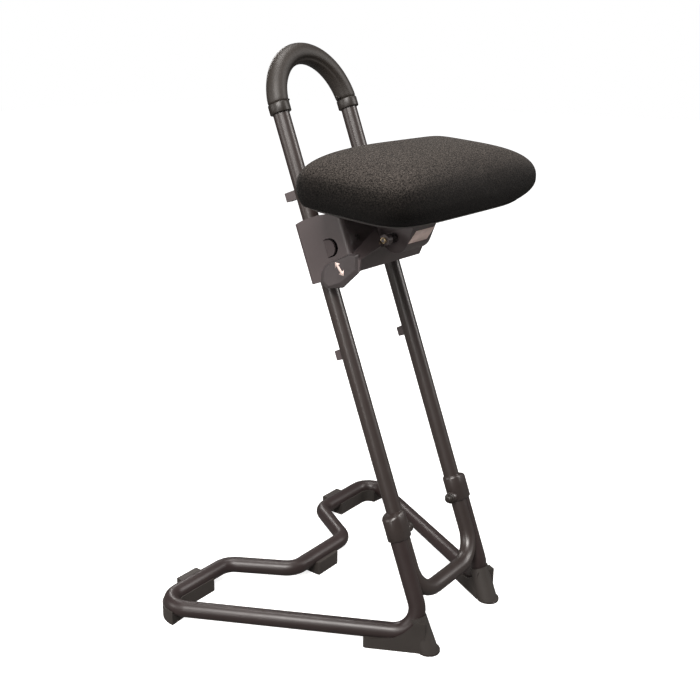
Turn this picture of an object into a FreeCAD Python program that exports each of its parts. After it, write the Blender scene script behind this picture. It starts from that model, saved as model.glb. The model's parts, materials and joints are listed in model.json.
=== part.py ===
import FreeCAD, Part
import math
import os

# Perch stool. Millimetres, +Z up, +X to the sitter's left, the sitter faces -Y.
# The loop frame leans back, and most of it is drawn in leg coordinates:
# x across, s along the leg from the floor, v square to the leg, positive to the rear.

Vec = FreeCAD.Vector

# Lean and tubes
LEAN = 20.9
LOOP_OD = 27.0
BASE_OD = 28.0
WALL = 2.0
LEG_FLOOR_Y = -215.0
FRAME_LIFT = 5.0
LEG_X = 89.0
ARCH_S = 895.0
CROSSBAR_S = 82.5
CROSSBAR_BEND = 50.0

# Base frame
BASE_Z = 27.0
UPRIGHT_X = 98.7
UPRIGHT_TOP_S = 224.0
FRONT_BEND = 40.0
REAR_X = 320.5
REAR_Y = 196.0
REAR_BEND = 33.0
REAR_WRAP = 0.8
NOTCH_X = 141.0
NOTCH_FRONT_X = 75.0
NOTCH_FRONT_Y = 88.0
NOTCH_BEND = 34.0
NEST_GAP = 0.15

# Front feet
FOOT_S = 56.0
FOOT_TOE_R = 17.8
FOOT_MOUTH_R = 16.0
FOOT_MOUTH_SHIFT = 5.5
FOOT_LIP = 1.5
FOOT_HALF_W = 16.5
FOOT_HEEL = 100.0

# Sleeves and their clamp bolts
SLEEVE_S0 = 184.0
SLEEVE_S1 = 233.0
SLEEVE_WALL = 3.0
KNOB_S = 195.0
KNOB_D = 19.0
NUT_D = 15.0
NUT_L = 9.0
BOLT_D = 8.0

# Handle
GRIP_OD = 34.0
GRIP_S = 906.0
COLLAR_OD = 37.0
COLLAR_L = 19.0
TAIL_L = 11.0
TAIL_W = 4.0
TAIL_T = 2.4

# Stops
UPPER_PEG_S0 = 754.0
UPPER_PEG_S1 = 768.5
UPPER_PEG_V = 34.0
LOWER_PEG_S0 = 489.0
LOWER_PEG_S1 = 505.0
LOWER_PEG_V = 24.0
PEG_W = 14.0

# Carriage
SHEET = 2.5
CHEEK_X = 107.5
CARRIAGE_S0 = 617.0
CARRIAGE_S1 = 718.0
CARRIAGE_REAR_V = 24.0
CARRIAGE_WEB_V = -72.0
LIP_S = 645.0
LIP_V = -47.0
REAR_FLANGE_X = 70.0
SLIDE_GAP = 0.3
GUIDE_L = 26.0
TAB_S = 664.5
TAB_V = -27.0
TAB_H = 29.0
TAB_D = 24.0
TAB_ANGLE = 14.0

# Tilt mechanism
PIVOT_Y = -81.0
PIVOT_Z = 652.0
HOUSING_R = 25.0
HOUSING_X = 33.5
HOUSING_WALL = 2.5
HOUSING_SLANT = 28.0
SHAFT_D = 12.0
SHAFT_END_D = 6.0
EAR_X = 21.5
EAR_T = 3.0
PLATE_T = 1.5
SPRING_R = 7.4
SPRING_PITCH = 3.8

# Lever
HUB_X0 = -62.0
HUB_X1 = -50.0
HUB_D = 17.0
RING_D = 9.0
LEVER_T = 3.0
PADDLE_X = 116.0
PADDLE_T = 7.0

# Seat, in a frame on the underside of the pan that dips to the front
SEAT_Y = -110.5
SEAT_Z = 700.5
SEAT_PITCH = 5.3
PAN_T = 5.0
INSERT_T = 10.0
RIM_HALF_W = 185.0
RIM_HALF_D = 92.0
RIM_SHIFT = 14.0
WAIST_H = 38.0
WAIST_HALF_W = 212.0
WAIST_HALF_D = 105.0
CROWN_H = 59.0
CROWN_POWER = 2.4
OUTLINE_POWER = 5.2

lean = math.radians(LEAN)
along = Vec(0, math.sin(lean), math.cos(lean))
across = Vec(0, math.cos(lean), -math.sin(lean))
leg_origin = Vec(0, LEG_FLOOR_Y, FRAME_LIFT)


def leg_point(x, s, v=0.0):
    return leg_origin + Vec(x, 0, 0) + along * s + across * v


def unit(vector):
    result = Vec(vector)
    result.normalize()
    return result


def bent_path(points, radii):
    """Wire through the points, each inner corner rounded with its own radius."""
    edges = []
    start = points[0]
    for before, corner, after, radius in zip(points, points[1:], points[2:], radii):
        to_start = unit(before - corner)
        to_end = unit(after - corner)
        half = to_start.getAngle(to_end) / 2
        reach = radius / math.tan(half)
        first = corner + to_start * reach
        last = corner + to_end * reach
        centre = corner + unit(to_start + to_end) * (radius / math.sin(half))
        middle = centre + unit(corner - centre) * radius
        edges.append(Part.makeLine(start, first))
        edges.append(Part.Arc(first, middle, last).toShape())
        start = last
    edges.append(Part.makeLine(start, points[-1]))
    return Part.Wire(edges)


def swept_round(path, diameter):
    """Solid round bar along a path."""
    first = path.Edges[0]
    position = first.valueAt(first.FirstParameter)
    direction = first.tangentAt(first.FirstParameter)
    ring = Part.Wire([Part.makeCircle(diameter / 2, position, direction)])
    return path.makePipeShell([ring], True, True)


def mirrored(shape):
    return shape.mirror(Vec(0, 0, 0), Vec(1, 0, 0))


def joined(shapes):
    result = shapes[0].fuse(shapes[1:])
    return result.removeSplitter()


def both_sides(shape):
    return joined([shape, mirrored(shape)])


def pair(shape):
    return Part.makeCompound([shape, mirrored(shape)])


def bar(x, s0, s1, diameter, v=0.0):
    """Cylinder along the leg direction."""
    return Part.makeCylinder(diameter / 2, s1 - s0, leg_point(x, s0, v), along)


def to_leg(shape):
    """Moves a shape drawn with x, v, s as its X, Y, Z into the leaning frame."""
    lean_turn = FreeCAD.Rotation(Vec(1, 0, 0), -LEAN)
    shape.Placement = FreeCAD.Placement(leg_origin, lean_turn).multiply(shape.Placement)
    return shape


def block(x0, x1, v0, v1, s0, s1):
    """Box in leg coordinates."""
    return to_leg(Part.makeBox(x1 - x0, v1 - v0, s1 - s0, Vec(x0, v0, s0)))


def export(name, shape):
    shape.exportStep("parts/" + name + ".step")


# Paths of the two frame tubes, sitter's right half
def loop_path():
    points = [
        leg_point(0, CROSSBAR_S),
        leg_point(-LEG_X, CROSSBAR_S),
        leg_point(-LEG_X, ARCH_S),
    ]
    lower = bent_path(points, [CROSSBAR_BEND])
    turn = math.sqrt(0.5)
    arch = Part.Arc(
        leg_point(-LEG_X, ARCH_S),
        leg_point(-LEG_X * turn, ARCH_S + LEG_X * turn),
        leg_point(0, ARCH_S + LEG_X),
    )
    return Part.Wire(lower.Edges + [arch.toShape()])


def base_path():
    foot_s = (BASE_Z - FRAME_LIFT) / math.cos(lean)
    points = [
        leg_point(-UPRIGHT_X, UPRIGHT_TOP_S),
        leg_point(-UPRIGHT_X, foot_s),
        Vec(-REAR_X, REAR_Y, BASE_Z),
        Vec(-NOTCH_X, REAR_Y, BASE_Z),
        Vec(-NOTCH_FRONT_X, NOTCH_FRONT_Y, BASE_Z),
        Vec(0, NOTCH_FRONT_Y, BASE_Z),
    ]
    return bent_path(points, [FRONT_BEND, REAR_BEND, NOTCH_BEND, NOTCH_BEND])


loop_half = loop_path()
base_half = base_path()
loop_solid = both_sides(swept_round(loop_half, LOOP_OD))
base_solid = both_sides(swept_round(base_half, BASE_OD))


# Loop frame, drilled for the clamp bolts
def build_loop_frame():
    tube = loop_solid.cut(both_sides(swept_round(loop_half, LOOP_OD - 2 * WALL)))
    hole = Part.makeCylinder(BOLT_D / 2, 60, leg_point(-LEG_X + 30, KNOB_S), Vec(-1, 0, 0))
    return tube.cut(hole).cut(mirrored(hole))


# Base frame, its uprights pressed in so that the loop legs nest in them
def build_base_frame():
    nest = swept_round(loop_half, LOOP_OD + 2 * NEST_GAP)
    nest_wall = swept_round(loop_half, LOOP_OD + 2 * NEST_GAP + 2 * WALL)
    half = swept_round(base_half, BASE_OD).cut(nest)
    core = swept_round(base_half, BASE_OD - 2 * WALL).cut(nest_wall)
    tube = both_sides(half.cut(core))
    hole = Part.makeCylinder(BOLT_D / 2, 18, leg_point(-LEG_X, KNOB_S), Vec(-1, 0, 0))
    return tube.cut(hole).cut(mirrored(hole))


# Clamp sleeves
def build_sleeve():
    leg_r = LOOP_OD / 2 + SLEEVE_WALL
    up_r = BASE_OD / 2 + SLEEVE_WALL
    body = bar(-LEG_X, SLEEVE_S0, SLEEVE_S1, 2 * leg_r)
    body = body.fuse(bar(-UPRIGHT_X, SLEEVE_S0, SLEEVE_S1, 2 * up_r))
    body = body.fuse(block(-UPRIGHT_X, -LEG_X, -leg_r, leg_r, SLEEVE_S0, SLEEVE_S1))
    body = body.removeSplitter()
    rims = []
    for edge in body.Edges:
        middle = edge.CenterOfMass - leg_origin
        at_top = abs(middle.dot(along) - SLEEVE_S1) < 0.5
        at_bottom = abs(middle.dot(along) - SLEEVE_S0) < 0.5
        if at_top or at_bottom:
            rims.append(edge)
    try:
        body = body.makeFillet(2.8, rims)
    except Exception:
        print("sleeve rim left square")
    boss = Part.makeCylinder(9.5, LEG_X - 68, leg_point(-LEG_X, KNOB_S), Vec(1, 0, 0))
    body = body.fuse(boss)
    body = body.cut(bar(-LEG_X, 100, 300, LOOP_OD))
    body = body.cut(bar(-UPRIGHT_X, 100, UPRIGHT_TOP_S, BASE_OD))
    bore = Part.makeCylinder(BOLT_D / 2, 60, leg_point(-LEG_X, KNOB_S), Vec(1, 0, 0))
    return body.cut(bore)


def build_clamp_bolt():
    return Part.makeCylinder(BOLT_D / 2, 46, leg_point(-104, KNOB_S), Vec(1, 0, 0))


def build_clamp_nut():
    base = leg_point(-68, KNOB_S)
    washer = Part.makeCylinder(KNOB_D / 2, 4, base, Vec(1, 0, 0))
    far_rim = [
        e for e in washer.Edges
        if e.Curve.TypeId == "Part::GeomCircle" and e.CenterOfMass.x > base.x + 3
    ]
    washer = washer.makeFillet(2.5, far_rim)
    ring = []
    for step in range(7):
        angle = math.radians(60 * step)
        side = along * math.cos(angle) + across * math.sin(angle)
        ring.append(base + Vec(4, 0, 0) + side * (NUT_D / 2))
    nut = Part.Face(Part.makePolygon(ring)).extrude(Vec(NUT_L, 0, 0))
    return washer.fuse(nut).cut(build_clamp_bolt())


# Handle grip and its end collars
def build_grip():
    start = math.asin((GRIP_S - ARCH_S) / LEG_X)
    middle = (start + math.pi / 2) / 2
    arch = Part.Arc(
        leg_point(-LEG_X * math.cos(start), ARCH_S + LEG_X * math.sin(start)),
        leg_point(-LEG_X * math.cos(middle), ARCH_S + LEG_X * math.sin(middle)),
        leg_point(0, ARCH_S + LEG_X),
    )
    path = Part.Wire([arch.toShape()])
    foam = swept_round(path, GRIP_OD).cut(swept_round(path, LOOP_OD))
    return both_sides(foam)


def build_collar():
    start = GRIP_S - 2.5
    ring = bar(-LEG_X, start - COLLAR_L, start, COLLAR_OD)
    ring = ring.makeFillet(1.5, [e for e in ring.Edges if e.Curve.TypeId == "Part::GeomCircle"])
    tail_at = start - 5.0
    tail = block(
        -LEG_X + COLLAR_OD / 2 - 2, -LEG_X + COLLAR_OD / 2 + TAIL_L,
        -TAIL_W / 2, TAIL_W / 2, tail_at, tail_at + TAIL_T,
    )
    return ring.fuse(tail).cut(loop_solid).removeSplitter()


# Stop pegs welded on the rear of the legs
def build_peg(s0, s1, v):
    peg = block(-LEG_X - PEG_W / 2, -LEG_X + PEG_W / 2, 5, v, s0, s1)
    corners = [e for e in peg.Edges if (e.CenterOfMass - leg_origin).dot(across) > v - 0.1]
    peg = peg.makeFillet(1.5, corners)
    return peg.cut(bar(-LEG_X, s0 - 5, s1 + 5, LOOP_OD))


# Front feet
def rail_direction():
    corner = leg_point(-UPRIGHT_X, (BASE_Z - FRAME_LIFT) / math.cos(lean))
    return corner, unit(Vec(-REAR_X, REAR_Y, BASE_Z) - corner)


def build_front_foot():
    """Boot: a tapered toe round the upright and a low heel that runs back under the rail."""
    corner, rail = rail_direction()
    corner.z = 0
    side = Vec(rail.y, -rail.x, 0)
    heel = corner + rail * FOOT_HEEL
    sole = Part.makePolygon([
        corner + side * FOOT_HALF_W, heel + side * FOOT_HALF_W, heel - side * FOOT_HALF_W,
        corner - side * FOOT_HALF_W, corner + side * FOOT_HALF_W,
    ])
    sole_block = Part.Face(sole).extrude(Vec(0, 0, 80))
    heel_edges = []
    for edge in sole_block.Edges:
        upright_edge = abs(edge.tangentAt(edge.FirstParameter).z) > 0.9
        near_heel = (edge.CenterOfMass - corner).dot(rail) > FOOT_HEEL - 10
        if upright_edge and near_heel:
            heel_edges.append(edge)
    sole_block = sole_block.makeFillet(6, heel_edges)
    y = LEG_FLOOR_Y
    outline = [
        (0, 0), (0, 54), (14, 54), (22, 45), (32, 33), (46, 23), (70, 19), (120, 19),
        (120, 0), (0, 0),
    ]
    profile = Part.makePolygon([Vec(-260, y + a, b) for a, b in outline])
    envelope = Part.Face(profile).extrude(Vec(260, 0, 0))
    toe = Vec(-UPRIGHT_X, y + 2, 0)
    low_ring = Part.Wire([Part.makeCircle(FOOT_TOE_R, toe, Vec(0, 0, 1))])
    inward = unit(rail - along * rail.dot(along))
    mouth = leg_point(-UPRIGHT_X, FOOT_S) + inward * FOOT_MOUTH_SHIFT
    high_ring = Part.Wire([Part.makeCircle(FOOT_MOUTH_R, mouth, along)])
    boot = Part.makeLoft([low_ring, high_ring], True)
    lip = Part.makeCylinder(FOOT_TOE_R + FOOT_LIP, 4, toe, Vec(0, 0, 1))
    foot = joined([boot, lip, sole_block.common(envelope)])
    return foot.cut(base_solid)


# Pads under the rear bar
def swept_pad(path, width, height):
    first = path.Edges[0]
    position = first.valueAt(first.FirstParameter)
    direction = unit(first.tangentAt(first.FirstParameter))
    side = Vec(direction.y, -direction.x, 0) * (width / 2)
    low = Vec(position.x, position.y, 0)
    high = Vec(position.x, position.y, height)
    ring = Part.makePolygon([low - side, low + side, high + side, high - side, low - side])
    floor_path = path.translated(Vec(0, 0, -BASE_Z))
    return floor_path.makePipeShell([ring], True, True)


def build_rear_pad():
    corner = Vec(-REAR_X, REAR_Y, BASE_Z)
    rail = rail_direction()[1] * -1
    path = bent_path([Vec(-190, REAR_Y, BASE_Z), corner, corner + rail * 62], [REAR_BEND])
    straight, bend = path.Edges[:2]
    bend_end = bend.FirstParameter + REAR_WRAP * (bend.LastParameter - bend.FirstParameter)
    part_bend = bend.Curve.toShape(bend.FirstParameter, bend_end)
    pad = swept_pad(Part.Wire([straight, part_bend]), BASE_OD + 4, 25)
    lug = Part.makeBox(48, 24, 29, Vec(-236, REAR_Y + 10, 0))
    lug = lug.makeFillet(3, [e for e in lug.Edges if e.CenterOfMass.y > REAR_Y + 33])
    return pad.fuse(lug).removeSplitter().cut(base_solid)


def build_centre_pad():
    pad = Part.makeBox(58, BASE_OD + 12, 25, Vec(-29, NOTCH_FRONT_Y - 21, 0))
    pad = pad.makeFillet(3, [e for e in pad.Edges if abs(e.tangentAt(e.FirstParameter).z) > 0.9])
    return pad.cut(base_solid)


# Carriage
def rounded_box(x, v0, v1, s0, s1, front_r, rear_r):
    box = Part.makeBox(2 * x, v1 - v0, s1 - s0, Vec(-x, v0, s0))
    upright_edges = [e for e in box.Edges if abs(e.tangentAt(e.FirstParameter).z) > 0.9]
    front = [e for e in upright_edges if e.CenterOfMass.y < (v0 + v1) / 2]
    box = box.makeFillet(front_r, front)
    upright_edges = [
        e for e in box.Edges
        if abs(e.CenterOfMass.y - v1) < 0.1 and e.Length > s1 - s0 - 1 and e.CenterOfMass.z > 0
        and abs(abs(e.CenterOfMass.x) - x) < 0.1
    ]
    return box.makeFillet(rear_r, upright_edges)


def tab_outline(shrink):
    """D shape in the cheek plane: straight edge to the rear, round edge to the front."""
    h = TAB_H / 2 - shrink
    d = TAB_D - shrink
    rear = TAB_V
    straight = Part.makeLine(Vec(0, rear, TAB_S - h), Vec(0, rear, TAB_S + h))
    lower = Part.makeLine(Vec(0, rear, TAB_S - h), Vec(0, rear - d + h, TAB_S - h))
    upper = Part.makeLine(Vec(0, rear, TAB_S + h), Vec(0, rear - d + h, TAB_S + h))
    nose = Part.Arc(
        Vec(0, rear - d + h, TAB_S - h), Vec(0, rear - d, TAB_S), Vec(0, rear - d + h, TAB_S + h)
    )
    return Part.Face(Part.Wire(Part.__sortEdges__([straight, lower, nose.toShape(), upper])))


def build_carriage_bracket():
    outer = rounded_box(
        CHEEK_X, CARRIAGE_WEB_V, CARRIAGE_REAR_V, CARRIAGE_S0 - 5, CARRIAGE_S1 + 5, 10, 9
    )
    inner = rounded_box(
        CHEEK_X - SHEET, CARRIAGE_WEB_V + SHEET, CARRIAGE_REAR_V - SHEET,
        CARRIAGE_S0 - 10, CARRIAGE_S1 + 10, 7.5, 6.5,
    )
    shell = outer.cut(inner)
    opening = Part.makeBox(2 * REAR_FLANGE_X, 30, 200, Vec(-REAR_FLANGE_X, 5, CARRIAGE_S0 - 50))
    shell = shell.cut(opening)
    outline = [
        (CARRIAGE_REAR_V + 1, CARRIAGE_S0), (CARRIAGE_REAR_V + 1, 715), (4, CARRIAGE_S1),
        (-29, CARRIAGE_S1), (-49, 715), (CARRIAGE_WEB_V - 1, 700),
        (CARRIAGE_WEB_V - 1, LIP_S), (LIP_V, CARRIAGE_S0),
    ]
    outline.append(outline[0])
    side = Part.Face(Part.makePolygon([Vec(-150, v, s) for v, s in outline]))
    shell = shell.common(side.extrude(Vec(300, 0, 0)))
    lip_points = [
        (CARRIAGE_WEB_V, LIP_S + 1), (LIP_V, CARRIAGE_S0), (LIP_V + 3.5, CARRIAGE_S0),
        (CARRIAGE_WEB_V + SHEET, LIP_S + 1),
    ]
    lip_points.append(lip_points[0])
    lip_x = CHEEK_X - SHEET + 0.5
    lip = Part.Face(Part.makePolygon([Vec(-lip_x, v, s) for v, s in lip_points]))
    shell = shell.fuse(lip.extrude(Vec(2 * lip_x, 0, 0)))
    window = tab_outline(0).extrude(Vec(300, 0, 0)).translated(Vec(-150, 0, 0))
    shell = shell.cut(window)
    tab = tab_outline(1.0).extrude(Vec(SHEET, 0, 0)).translated(Vec(-CHEEK_X, 0, 0))
    tab.rotate(Vec(-CHEEK_X + SHEET / 2, TAB_V, 0), Vec(0, 0, 1), TAB_ANGLE)
    shell = joined([shell, tab, mirrored(tab)])
    holes = []
    for x in (-15, 15):
        for s in (668, 692):
            holes.append(Part.makeCylinder(3, 30, Vec(x, CARRIAGE_WEB_V - 10, s), Vec(0, 1, 0)))
    for x in (-LEG_X + 8, LEG_X - 8):
        holes.append(Part.makeCylinder(2.5, 30, Vec(x, CARRIAGE_WEB_V - 10, 668), Vec(0, 1, 0)))
    shell = shell.cut(holes)
    return to_leg(shell.removeSplitter())


def build_guide_block(s0):
    inner_x = CHEEK_X - SHEET
    body = block(-inner_x, -72, -21, CARRIAGE_REAR_V - SHEET, s0, s0 + GUIDE_L)
    corner = [
        e for e in body.Edges
        if abs(e.tangentAt(e.FirstParameter).dot(along)) > 0.9
        and e.CenterOfMass.x < -100 and (e.CenterOfMass - leg_origin).dot(across) > 10
    ]
    body = body.makeFillet(6.5, corner)
    return body.cut(bar(-LEG_X, s0 - 5, s0 + GUIDE_L + 5, LOOP_OD + 2 * SLIDE_GAP))


def build_brake_pad():
    pad = block(-LEG_X - 9, -LEG_X + 9, -25, -8, 650, 686)
    return pad.cut(bar(-LEG_X, 640, 700, LOOP_OD + 2 * SLIDE_GAP))


def build_brake_plate():
    web_inner = CARRIAGE_WEB_V + SHEET
    plate = block(-LEG_X - 9, LEG_X + 9, -28, -25, 650, 686)
    legs = []
    for x in (-LEG_X + 8, LEG_X - 8):
        legs.append(block(x - 7, x + 7, web_inner, -28, 661, 675))
    plate = joined([plate] + legs)
    for x in (-LEG_X + 8, LEG_X - 8):
        tap = Part.makeCylinder(2.5, 14, leg_point(x, 668, web_inner), across)
        plate = plate.cut(tap)
    return plate


def build_brake_screw(x):
    shank = Part.makeCylinder(2.5, SHEET + 14, leg_point(x, 668, CARRIAGE_WEB_V), across)
    head = Part.makeCylinder(4.5, 3, leg_point(x, 668, CARRIAGE_WEB_V), across * -1)
    return shank.fuse(head).removeSplitter()


# Tilt mechanism
pivot = Vec(0, PIVOT_Y, PIVOT_Z)


def pivot_cylinder(x0, x1, diameter):
    return Part.makeCylinder(diameter / 2, x1 - x0, pivot + Vec(x0, 0, 0), Vec(1, 0, 0))


def build_tilt_bracket():
    plate = block(-EAR_X - EAR_T, EAR_X + EAR_T, CARRIAGE_WEB_V - 4, CARRIAGE_WEB_V, 656, 704)
    ears = []
    for x in (-EAR_X - EAR_T, EAR_X):
        start = leg_point(0, 656, CARRIAGE_WEB_V)
        end = leg_point(0, 704, CARRIAGE_WEB_V)
        top = pivot + Vec(0, 4, 15)
        low = pivot + Vec(0, -2, -15)
        face = Part.Face(Part.makePolygon([start, end, top, low, start]))
        ear = face.extrude(Vec(EAR_T, 0, 0)).translated(Vec(x, 0, 0))
        ear = ear.fuse(pivot_cylinder(x, x + EAR_T, 31))
        ears.append(ear)
    bracket = joined([plate] + ears)
    bracket = bracket.cut(pivot_cylinder(-60, 60, SHAFT_D))
    for x in (-15, 15):
        for s in (668, 692):
            hole = Part.makeCylinder(3, 8, leg_point(x, s, CARRIAGE_WEB_V - 6), across)
            bracket = bracket.cut(hole)
    return bracket


def build_bracket_bolts():
    bolts = []
    for x in (-15, 15):
        for s in (668, 692):
            base = leg_point(x, s, CARRIAGE_WEB_V - 4)
            shank = Part.makeCylinder(3, 4 + SHEET + 6, base, across)
            head = Part.makeCylinder(5, 4, base, across * -1)
            nut = Part.makeCylinder(5, 5, leg_point(x, s, CARRIAGE_WEB_V + SHEET), across)
            bolts.append(joined([shank, head, nut]))
    return Part.makeCompound(bolts)


def seat_place(shape):
    """Moves a shape drawn around the seat centre into its place, nose a little down."""
    turn = FreeCAD.Rotation(Vec(1, 0, 0), SEAT_PITCH)
    shape.Placement = FreeCAD.Placement(Vec(0, SEAT_Y, SEAT_Z), turn).multiply(shape.Placement)
    return shape


def seat_point(x, y, z):
    turn = FreeCAD.Rotation(Vec(1, 0, 0), SEAT_PITCH)
    return turn.multVec(Vec(x, y, z)) + Vec(0, SEAT_Y, SEAT_Z)


def housing_profile(radius, top_extra, x):
    """Section of the housing: slanted front, round bottom about the pivot, open to the rear."""
    slant = math.radians(HOUSING_SLANT)
    front = pivot + Vec(0, -math.cos(slant), -math.sin(slant)) * radius
    up = Vec(0, -math.sin(slant), math.cos(slant))
    rise = (SEAT_Z - front.z + (front.y - SEAT_Y) * math.tan(math.radians(SEAT_PITCH))) / up.z
    front_top = front + up * (rise + top_extra)
    rear_angle = math.radians(35)
    rear = pivot + Vec(0, math.sin(rear_angle), -math.cos(rear_angle)) * radius
    rear_z = SEAT_Z + (PIVOT_Y + 30 - SEAT_Y) * math.tan(math.radians(SEAT_PITCH))
    rear_top = Vec(0, PIVOT_Y + 30, rear_z + top_extra)
    low = pivot + Vec(0, -0.35, -0.937) * radius
    arc = Part.Arc(front, low, rear).toShape()
    edges = [
        Part.makeLine(front_top, front), arc, Part.makeLine(rear, rear_top),
        Part.makeLine(rear_top, front_top),
    ]
    face = Part.Face(Part.Wire(edges))
    return face.extrude(Vec(2 * x, 0, 0)).translated(Vec(-x, 0, 0))


def build_tilt_housing():
    outer = housing_profile(HOUSING_R, 0.0, HOUSING_X)
    below_pan = Part.makeBox(400, 400, 100, Vec(-200, -200, -100))
    outer = outer.common(seat_place(below_pan))
    inner = housing_profile(HOUSING_R - HOUSING_WALL, 5.0, HOUSING_X - HOUSING_WALL)
    shell = outer.cut(inner)
    slot = Part.makeBox(2 * (HOUSING_X - HOUSING_WALL), 60, 90)
    slot = slot.translated(Vec(-HOUSING_X + HOUSING_WALL, PIVOT_Y - 4, PIVOT_Z - 50))
    shell = shell.cut(slot)
    flanges = []
    for side in (-1, 1):
        x0 = HOUSING_X - HOUSING_WALL if side > 0 else -HOUSING_X - 16 + HOUSING_WALL
        flange = Part.makeBox(16, 76, HOUSING_WALL, Vec(x0, 0, -HOUSING_WALL))
        flanges.append(seat_place(flange))
    shell = joined([shell] + flanges)
    shell = shell.cut(pivot_cylinder(-60, 60, SHAFT_D + 0.6))
    for x, y in screw_points:
        hole = Part.makeCylinder(2.5, 20, Vec(x, y, -10))
        shell = shell.cut(seat_place(hole))
    return shell


screw_points = [(-42, 12), (-42, 62), (42, 12), (42, 62)]


def build_housing_screws():
    screws = []
    for x, y in screw_points:
        shank = Part.makeCylinder(2.5, 12, Vec(x, y, -HOUSING_WALL))
        head = Part.makeCylinder(4.5, 3, Vec(x, y, -HOUSING_WALL - 3))
        screws.append(seat_place(shank.fuse(head).removeSplitter()))
    return Part.makeCompound(screws)


def build_shaft():
    shaft = pivot_cylinder(HUB_X1, 40, SHAFT_D)
    thin_end = pivot_cylinder(HUB_X0 - 4, HUB_X1, SHAFT_END_D)
    head = pivot_cylinder(38, 43, 20)
    return joined([shaft, thin_end, head])


def build_shaft_ring():
    """Brass ring that keeps the lever on the thin end of the shaft."""
    ring = pivot_cylinder(HUB_X0 - 4, HUB_X0, RING_D)
    return ring.cut(pivot_cylinder(HUB_X0 - 10, HUB_X0 + 1, SHAFT_END_D))


def build_friction_plates():
    plates = []
    for side in (-1, 1):
        for index in range(3):
            x0 = EAR_X + EAR_T + index * (PLATE_T + 0.9)
            plate = pivot_cylinder(x0, x0 + PLATE_T, 34)
            plate = plate.cut(pivot_cylinder(x0 - 1, x0 + PLATE_T + 1, SHAFT_D))
            if side < 0:
                plate = mirrored(plate)
            plates.append(plate)
    return Part.makeCompound(plates)


# Release lever, a plate that runs from the shaft out past the carriage to the paddle
def lever_plane_point(x, y, z):
    return Vec(x, y + LEG_FLOOR_Y, z + FRAME_LIFT)


def build_lever():
    """Hub on the shaft, a slanted arm, and a tongue in the plane of the paddle."""
    hub = pivot_cylinder(HUB_X0, HUB_X1, HUB_D)
    neck_low = lever_plane_point(-PADDLE_X + 1, 140.3, 624.9)
    neck_high = lever_plane_point(-PADDLE_X + 1, 154.6, 632.6)
    end_high = lever_plane_point(-55, 156.4, 661.4)
    end_front = lever_plane_point(-62, 139.6, 649.2)
    end_low = lever_plane_point(-72, 132.1, 640.5)
    normal = unit((end_low - neck_high).cross(neck_low - neck_high))
    flat = []
    for point in (neck_low, neck_high, end_high, end_front, end_low):
        flat.append(point - normal * (point - neck_high).dot(normal))
    flat.append(flat[0])
    arm = Part.Face(Part.makePolygon(flat)).extrude(normal * LEVER_T)
    arm = arm.cut(pivot_cylinder(-90, HUB_X0, RING_D + 1))
    arm = arm.cut(pivot_cylinder(HUB_X1, 0, 40))
    tongue_outline = [(141, 606), (139, 624), (158, 634), (166, 622), (166, 606), (141, 606)]
    tongue_points = [lever_plane_point(-PADDLE_X, y, z) for y, z in tongue_outline]
    tongue = Part.Face(Part.makePolygon(tongue_points)).extrude(Vec(LEVER_T, 0, 0))
    lever = joined([hub, arm, tongue])
    return lever.cut(pivot_cylinder(-90, 44, SHAFT_END_D))


def build_paddle():
    outline = [
        (210, 576), (209, 592), (203, 604), (160, 627), (141, 623), (139, 605), (165, 576),
        (200, 568),
    ]
    points = [lever_plane_point(-PADDLE_X - PADDLE_T + LEVER_T, y, z) for y, z in outline]
    points.append(points[0])
    paddle = Part.Face(Part.makePolygon(points)).extrude(Vec(PADDLE_T, 0, 0))
    rim = [e for e in paddle.Edges if e.CenterOfMass.x < -PADDLE_X - PADDLE_T + LEVER_T + 0.1]
    paddle = paddle.makeFillet(1.8, rim)
    return paddle.cut(build_lever())


def build_lever_spring():
    helix = Part.makeHelix(SPRING_PITCH, 2.5 * SPRING_PITCH, SPRING_R)
    wire = Part.makePolygon([
        Vec(SPRING_R - 1.1, 0, -1), Vec(SPRING_R + 1.1, 0, -1), Vec(SPRING_R + 1.1, 0, 1),
        Vec(SPRING_R - 1.1, 0, 1), Vec(SPRING_R - 1.1, 0, -1),
    ])
    coil = Part.Wire(helix).makePipeShell([wire], True, True)
    coil.rotate(Vec(0, 0, 0), Vec(0, 1, 0), 90)
    return coil.translated(pivot + Vec(HUB_X1 + 1.2, 0, 0))


# Seat
def seat_outline(half_w, half_d, shift, z, count=40):
    """Closed rounded-box curve around the seat at one height."""
    power = 2.0 / OUTLINE_POWER
    dense = []
    for step in range(720):
        angle = 2 * math.pi * step / 720
        c = math.cos(angle)
        s = math.sin(angle)
        x = half_w * math.copysign(abs(c) ** power, c)
        y = half_d * math.copysign(abs(s) ** power, s)
        dense.append(Vec(x, y + shift, z))
    lengths = [0.0]
    for first, second in zip(dense, dense[1:] + dense[:1]):
        lengths.append(lengths[-1] + first.distanceToPoint(second))
    points = []
    index = 0
    for step in range(count):
        goal = lengths[-1] * step / count
        while lengths[index + 1] < goal:
            index += 1
        part = (goal - lengths[index]) / (lengths[index + 1] - lengths[index])
        points.append(dense[index] + (dense[(index + 1) % 720] - dense[index]) * part)
    curve = Part.BSplineCurve()
    curve.interpolate(points, PeriodicFlag=True)
    return Part.Wire([curve.toShape()])


def flank_ring(t):
    """Below the waist: t is 0 at the waist and 1 at the underside of the pan."""
    draw = t * t
    half_w = WAIST_HALF_W + (RIM_HALF_W - WAIST_HALF_W) * draw
    half_d = WAIST_HALF_D + (RIM_HALF_D - WAIST_HALF_D) * draw
    return seat_outline(half_w, half_d, RIM_SHIFT * draw, WAIST_H * (1 - t))


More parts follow.
